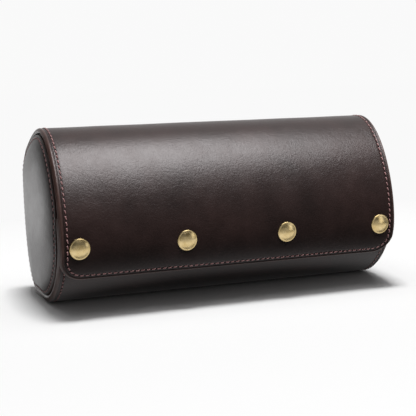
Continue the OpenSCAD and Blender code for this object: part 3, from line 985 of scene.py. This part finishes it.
def lining(name, run, margin, corner, rows, off):
    """Suede glued inside a band, short of its turned edges. off(s) is how far it stands off."""
    half = HALF_LENGTH - margin
    s_end = run.length - LINING_SHORT
    columns = spread(-half + corner, half - corner, LINING_COLUMN_STEP)
    rim = lining_rim(corner)
    inset = rim[:, 0]
    points, uv = [], []
    for bx, bs, ix, js in band_path(half, s_end, corner, columns, rows, LINING_TURN_STEPS):
        x, s = bx + ix * inset, bs + js * inset
        points.append(run.place(x, s, rim[:, 1] + float(run.thick(bs) + off(bs))))
        uv.append(np.stack([x, s], -1) * MM)
    patches = Patches()
    patches.grid(np.array(points), np.array(uv), 0.0)
    x, s = np.meshgrid(columns, rows)
    face_uv = np.stack([x, s], -1) * MM
    puff = 0.06 * np.sin(x / 7.0 + 1.1 * np.sin(s / 9.0)) + 0.05 * np.sin(s / 5.2 + x / 13.0)
    hem = smooth(np.minimum((half - corner - abs(x)) / HEM_FADE, (s_end - corner - s) / HEM_FADE))
    hem = hem * (1 - off(s) / LOOSE)
    patches.grid(run.place(x, s, run.thick(s) + LINING_RAISED + off(s) + puff * hem), face_uv, 0.0)
    patches.grid(run.place(x, s, run.thick(s) - LINING_SUNK), face_uv, 0.0)
    return patches.build(name, [SUEDE])


def build_linings():
    corner = 9.0
    rows = bending_rows(BACK_RUN.length - LINING_SHORT - corner)
    flap = lining("flap_suede", BACK_RUN, 5.0, corner, rows, loose)
    declare_bending(flap, "suede", "flap_lining")
    corner = 2.0
    rows = spread(0, FRONT_RUN.length - LINING_SHORT - corner, WALL_LINING_STEP)
    wall = lining("wall_suede", FRONT_RUN, 4.6, corner, rows, lambda s: 0.0)
    declare(wall, "body", "suede", "body_lining")


END_GAP = 0.5
END_BACK = 3.4
END_GROOVE = 0.30
END_SEAM = 2.1
END_DOME = 3.4
END_THREAD_UP = 0.46
DIVIDER_THICK = 4.0
# Rims from the face round to the back, as (inset, height over the face).
END_RIM = [(0.75, 1.60), (0.5, 1.57), (0.3, 1.47), (0.14, 1.30), (0.04, 1.05), (0.0, 0.75), (0.0, 0.4),
           (0.02, 0.15), (0.08, 0.0), (0.7, -0.28), (0.35, -0.32), (0.12, -0.45), (0.02, -0.7), (0.0, -1.2),
           (0.1, -2.9), (0.5, -3.3)]
LINING_RIM = [(0.5, 0.0), (0.25, -0.04), (0.08, -0.14), (0.0, -0.3), (0.0, -0.85)]
DIVIDER_RIM = [(1.9, 0.0), (1.3, -0.1), (0.8, -0.36), (0.4, -0.75), (0.12, -1.3), (0.0, -2.0), (0.12, -2.7),
               (0.4, -3.25), (0.8, -3.64), (1.3, -3.9), (1.9, -4.0)]


def build_ends():
    for side, way in SIDES:
        x = way * END_FACE_X
        end = panel(side + "_end_panel", x, way, END_GAP, END_RIM, dome=END_DOME, back=END_BACK,
                    groove=END_GROOVE, seam=END_SEAM, material=LEATHER, flange=True)
        declare(end, "body", "leather", side + "_end_leather", side + "_end_board")
        suede = panel(side + "_end_suede", way * END_LINING_X, -way, 0.9, LINING_RIM, dome=0.25,
                      back=0.9, groove=0.12, seam=SEAM_IN, material=SUEDE)
        declare(suede, "body", "suede", side + "_end_lining")
        points, normals = panel_seam(x, way, END_GAP, END_RIM[0][1] + END_THREAD_UP - END_GROOVE)
        run = stitch_run(points, normals, slant=0.12 * way)
        thread = stitches(side + "_end_threads", run, seed=11 + way)
        declare(thread, "body", "thread", side + "_end_stitching")


def build_dividers():
    for side, way in SIDES:
        x = way * PITCH / 2 + DIVIDER_THICK / 2
        wall = panel(side + "_divider", x, 1, 4.0, DIVIDER_RIM, dome=0.1, back=DIVIDER_THICK, groove=0.15,
                     seam=SEAM_IN, material=SUEDE)
        declare(wall, "body", "suede", side + "_divider_cover", side + "_divider_board")


def build_cushions():
    for name, x in (("left", -PITCH), ("centre", 0.0), ("right", PITCH)):
        body = name + "_cushion"
        pad = cushion(name + "_pad", x, [SUEDE, SUEDE_PIPING])
        declare(pad, body, "suede", body + "_sleeve", body + "_core", body + "_ends")


def build_caps():
    """The four caps: the profile turned about axes along -Y."""
    patches = Patches()
    angle = np.arange(CAP_ROUND) / CAP_ROUND * 2 * math.pi
    for middle in STUD_X:
        points, uv = [], []
        for radius, height in cap_profile():
            r = max(radius, AXIS_RADIUS)
            x = middle + r * np.cos(angle)
            z = FRONT_Z + r * np.sin(angle)
            points.append(np.column_stack([x, np.full(CAP_ROUND, CAP_BASE_Y - height), z]) * MM)
            uv.append(np.column_stack([x, z]) * MM)
        patches.grid(np.array(points), np.array(uv), 0.0, around=True)
    declare(patches.build("caps", [BRASS]), "flap", "brass", "snap_caps")


SEAM_X = HALF_LENGTH - SEAM_IN
SEAM_DIP = 0.2
BACK_SEAM_START = 8
WALL_SEAM_START = 1.0
WALL_SEAM_SHORT = 2.5
SIDE_POINTS, TURN_POINTS, BOTTOM_POINTS, WALL_POINTS = 500, 40, 300, 600
BASE_SINK = 0.55
BASE_SINK_UP_TO = 3.0


def run_line(run, x, s):
    """Points of a seam on a band's outer face, with their normals, in millimetres."""
    return run.place(x, s, SEAM_DIP) / MM, at_x(0.0, run.normal(s))


def build_flap_seam():
    """The seam up the back's sides and round the flap, which bends at the hinge."""
    inner = FLAP_CORNER - SEAM_IN
    cs = BACK_RUN.length - FLAP_CORNER
    up = np.linspace(BACK_SEAM_START, cs, SIDE_POINTS)
    turn = np.linspace(0, math.pi / 2, TURN_POINTS)[1:-1]
    x = np.r_[np.full(SIDE_POINTS, -SEAM_X), -CORNER_X - inner * np.cos(turn),
              np.linspace(-CORNER_X, CORNER_X, BOTTOM_POINTS), CORNER_X + inner * np.sin(turn),
              np.full(SIDE_POINTS, SEAM_X)]
    s = np.r_[up, cs + inner * np.sin(turn), np.full(BOTTOM_POINTS, BACK_RUN.length - SEAM_IN),
              cs + inner * np.cos(turn), up[::-1]]
    points, normals = run_line(BACK_RUN, x, s)
    run = stitch_run(points, normals, slant=0.20)
    thread = stitches("flap_threads", run, seed=5, length=FLAP_THREAD_LENGTH)
    declare_bending(thread, "thread", "flap_stitching")


def build_wall_seams():
    """The seams of the front wall's ends, sunk where the roll stands on them."""
    for side, way in SIDES:
        s = np.linspace(WALL_SEAM_START, FRONT_RUN.length - WALL_SEAM_SHORT, WALL_POINTS)
        points, normals = run_line(FRONT_RUN, np.full(WALL_POINTS, way * SEAM_X), s)
        on_base = BASE_SINK * (1 - smooth(points[:, 2] / BASE_SINK_UP_TO))
        run = stitch_run(points, normals, slant=0.10 * way, sink=on_base)
        thread = stitches(side + "_wall_threads", run, seed=21 + way)
        declare(thread, "body", "thread", side + "_body_stitching")


def dress_hardware():
    """The CAD solids of the press studs keep their shape and get their metal."""
    for node, material in (("snap_sockets", BRASS_PARTS), ("snap_studs", BRASS_PARTS),
                           ("snap_posts", BRASS_PARTS), ("snap_springs", STEEL)):
        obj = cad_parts[node]
        obj.data.materials.clear()
        obj.data.materials.append(material)


# Stage, light and camera

FLOOR_HALF = 1.6
FLOOR_Z = -0.0003
FLOOR_CAMERA_COLOUR = (0.92, 0.92, 0.92)
WORLD_CAMERA_COLOUR = (0.95, 0.95, 0.95)
WORLD_LIGHT = (0.12, 0.12, 0.12)
# Name, place, target, width, height, brightness, the collection that it lights, and whether the camera
# sees it.
LIGHTS = (
    ("overhead", (0.12, -0.27, 0.70), (0.0, 0.0, 0.05), 0.50, 0.42, 16.0, "roll", True),
    ("left_behind", (-0.185, 0.18, 0.036), (-0.11, 0.0, 0.036), 0.07, 0.07, 1.1, "roll", False),
    ("floor_key", (0.13, 0.42, 2.46), (0.0, 0.0, 0.0), 0.60, 0.42, 59.5, "table", True),
    ("floor_fill", (0.13, 0.42, 2.46), (0.0, 0.0, 0.0), 2.20, 1.80, 1.48, "table", True),
    ("cap_glint", (0.12, -0.27, 0.70), (0.0, 0.0, 0.05), 0.50, 0.42, 5.0, "metal", False),
    ("near_card", (0.0, -0.12, 0.002), (0.0, -0.12, 0.5), 0.60, 0.10, 0.90, "metal", False),
    ("far_card", (0.0, -0.42, 0.002), (0.0, -0.42, 0.5), 0.90, 0.50, 0.50, "metal", False),
    ("upright_card", (0.0, -0.68, 0.11), (0.0, 0.0, 0.11), 0.90, 0.22, 0.30, "metal", False),
    ("right_card", (0.205, -0.205, 0.100), (0.099, -0.046, 0.04), 0.11, 0.13, 1.1, "metal", False),
)
# The camera as fitted to the photograph, with its focal length in the photograph's pixels.
CAMERA_PLACE = (-0.2649, -0.6405, 0.1752)
CAMERA_YAW = 22.35
CAMERA_PITCH = 10.3
FOCAL_PIXELS = 1100
PHOTO_WIDTH = 416
SENSOR_WIDTH = 36.0


def oval_distance(tree, place, squeeze):
    """The distance from the middle of the floor, with x shortened by squeeze."""
    squeezed = stretched(tree, place, (squeeze, 1.0, 1.0))
    return add(tree, "VectorMath", {0: squeezed}, operation="LENGTH").outputs["Value"]


def mirror_ray(tree, path):
    """1 for a ray that a glossy or clear surface sent out."""
    return larger(tree, path.outputs["Is Glossy Ray"], path.outputs["Is Transmission Ray"])


def floor_in_mirror(tree, at, reach):
    """What reflections show of the floor: a lit strip close to the roll and the room behind it."""
    lit = grey(tree, reach, [(0.026, 0.05), (0.040, 1.0), (0.050, 0.75), (0.062, 0.25), (0.080, 0.07),
                             (0.25, 0.02)])
    behind = times(tree, grey(tree, at[1], [(0.0, 0.0), (0.05, 1.0)]), 1.35)
    across = grey(tree, times(tree, at[0], 1.0, 0.5),
                  [(0.19, 0.25), (0.27, 1.0), (0.30, 1.0), (0.34, 0.85)])
    return larger(tree, lit, times(tree, behind, across))


def floor_material():
    """A pale card, plain white further out. Reflections show a dim room instead, and the card throws back
    less light further out."""
    material = bpy.data.materials.new("floor")
    tree = empty_tree(material)
    place = add(tree, "TexCoord").outputs["Object"]
    at = add(tree, "SeparateXYZ", {0: place}).outputs
    path = add(tree, "LightPath")
    camera = path.outputs["Is Camera Ray"]
    mirror = mirror_ray(tree, path)
    reach = oval_distance(tree, place, 0.21)
    far = grey(tree, oval_distance(tree, place, 0.45), [(0.11, 0.0), (0.26, 1.0)])
    bounced = grey(tree, reach, [(0.09, 0.80), (0.24, 0.08)])
    seen = grey(tree, times(tree, at[1], 1.0, 0.5), [(0.30, 1.0), (0.50, 0.974), (0.65, 0.948)])
    level = mix(tree, mirror, seen, floor_in_mirror(tree, at, reach))
    white = add(tree, "Emission", {"Color": level, "Strength": 1.0}).outputs[0]
    colour = mix(tree, camera, bounced, FLOOR_CAMERA_COLOUR)
    card = add(tree, "BsdfDiffuse", {"Color": colour}).outputs[0]
    share = larger(tree, mirror, times(tree, far, camera))
    blended = add(tree, "MixShader", {0: share, 1: card, 2: white}).outputs[0]
    add(tree, "OutputMaterial", {"Surface": blended})
    return material


def build_floor():
    h, z = FLOOR_HALF, FLOOR_Z
    mesh = bpy.data.meshes.new("floor")
    mesh.from_pydata([(-h, -h, z), (h, -h, z), (h, h, z), (-h, h, z)], [], [(0, 1, 2, 3)])
    mesh.materials.append(floor_material())
    floor = new_object("floor", mesh)
    floor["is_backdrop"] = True
    return floor


def build_world():
    """Pale for the camera, dim for the light, and in reflections a room that is brighter at the back."""
    world = bpy.data.worlds.new("studio")
    bpy.context.scene.world = world
    tree = empty_tree(world)
    path = add(tree, "LightPath")
    towards = add(tree, "TexCoord").outputs["Generated"]
    parts = add(tree, "SeparateXYZ", {0: towards}).outputs
    back = grey(tree, times(tree, parts[1], 0.5, 0.5), [(0.24, 0.08), (0.62, 0.9)])
    left = grey(tree, times(tree, parts[0], 0.5, 0.5),
                [(0.20, 0.12), (0.30, 1.0), (0.36, 0.65), (0.46, 1.0)])
    mirrored = times(tree, back, left)
    level = mix(tree, mirror_ray(tree, path), WORLD_LIGHT, mirrored)
    colour = mix(tree, path.outputs["Is Camera Ray"], level, WORLD_CAMERA_COLOUR)
    shade = add(tree, "Background", {"Color": colour, "Strength": 1.0}).outputs[0]
    add(tree, "OutputWorld", {"Surface": shade})


def softbox(name, place, target, width, height, radiance):
    """A soft area light, whose face has this radiance, where 1 is white."""
    data = bpy.data.lights.new(name, "AREA")
    data.shape = "RECTANGLE"
    data.size = width
    data.size_y = height
    data.energy = radiance * math.pi * width * height
    light = new_object(name, data)
    light.location = place
    light.rotation_euler = (Vector(target) - Vector(place)).to_track_quat("-Z", "Y").to_euler()
    return light


def build_lights(floor):
    """Each light falls on one collection alone: the roll without its caps, the floor, or the caps."""
    receivers = {"roll": [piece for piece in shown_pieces() if piece.name != "caps"],
                 "table": [floor],
                 "metal": [bpy.data.objects["caps"]]}
    collections = {}
    for name, objects in receivers.items():
        collections[name] = bpy.data.collections.new(name)
        for obj in objects:
            collections[name].objects.link(obj)
    for name, place, target, width, height, radiance, lit, seen in LIGHTS:
        light = softbox(name, place, target, width, height, radiance)
        light.light_linking.receiver_collection = collections[lit]
        light.visible_camera = seen


def build_camera():
    yaw, pitch = math.radians(CAMERA_YAW), math.radians(CAMERA_PITCH)
    ahead = Vector((math.sin(yaw) * math.cos(pitch), math.cos(yaw) * math.cos(pitch), -math.sin(pitch)))
    right = Vector((math.cos(yaw), -math.sin(yaw), 0))
    up = right.cross(ahead)
    data = bpy.data.cameras.new("camera")
    data.sensor_width = SENSOR_WIDTH
    data.lens = FOCAL_PIXELS / PHOTO_WIDTH * SENSOR_WIDTH
    camera = new_object("camera", data)
    turn = Matrix((right, up, -ahead)).transposed().to_4x4()
    camera.matrix_world = Matrix.Translation(CAMERA_PLACE) @ turn
    bpy.context.scene.camera = camera


build_camera()
build_shells()
build_linings()
build_ends()
build_dividers()
build_cushions()
build_caps()
build_flap_seam()
build_wall_seams()
dress_hardware()
floor = build_floor()
build_world()
build_lights(floor)
bpy.context.scene.view_settings.view_transform = "Standard"
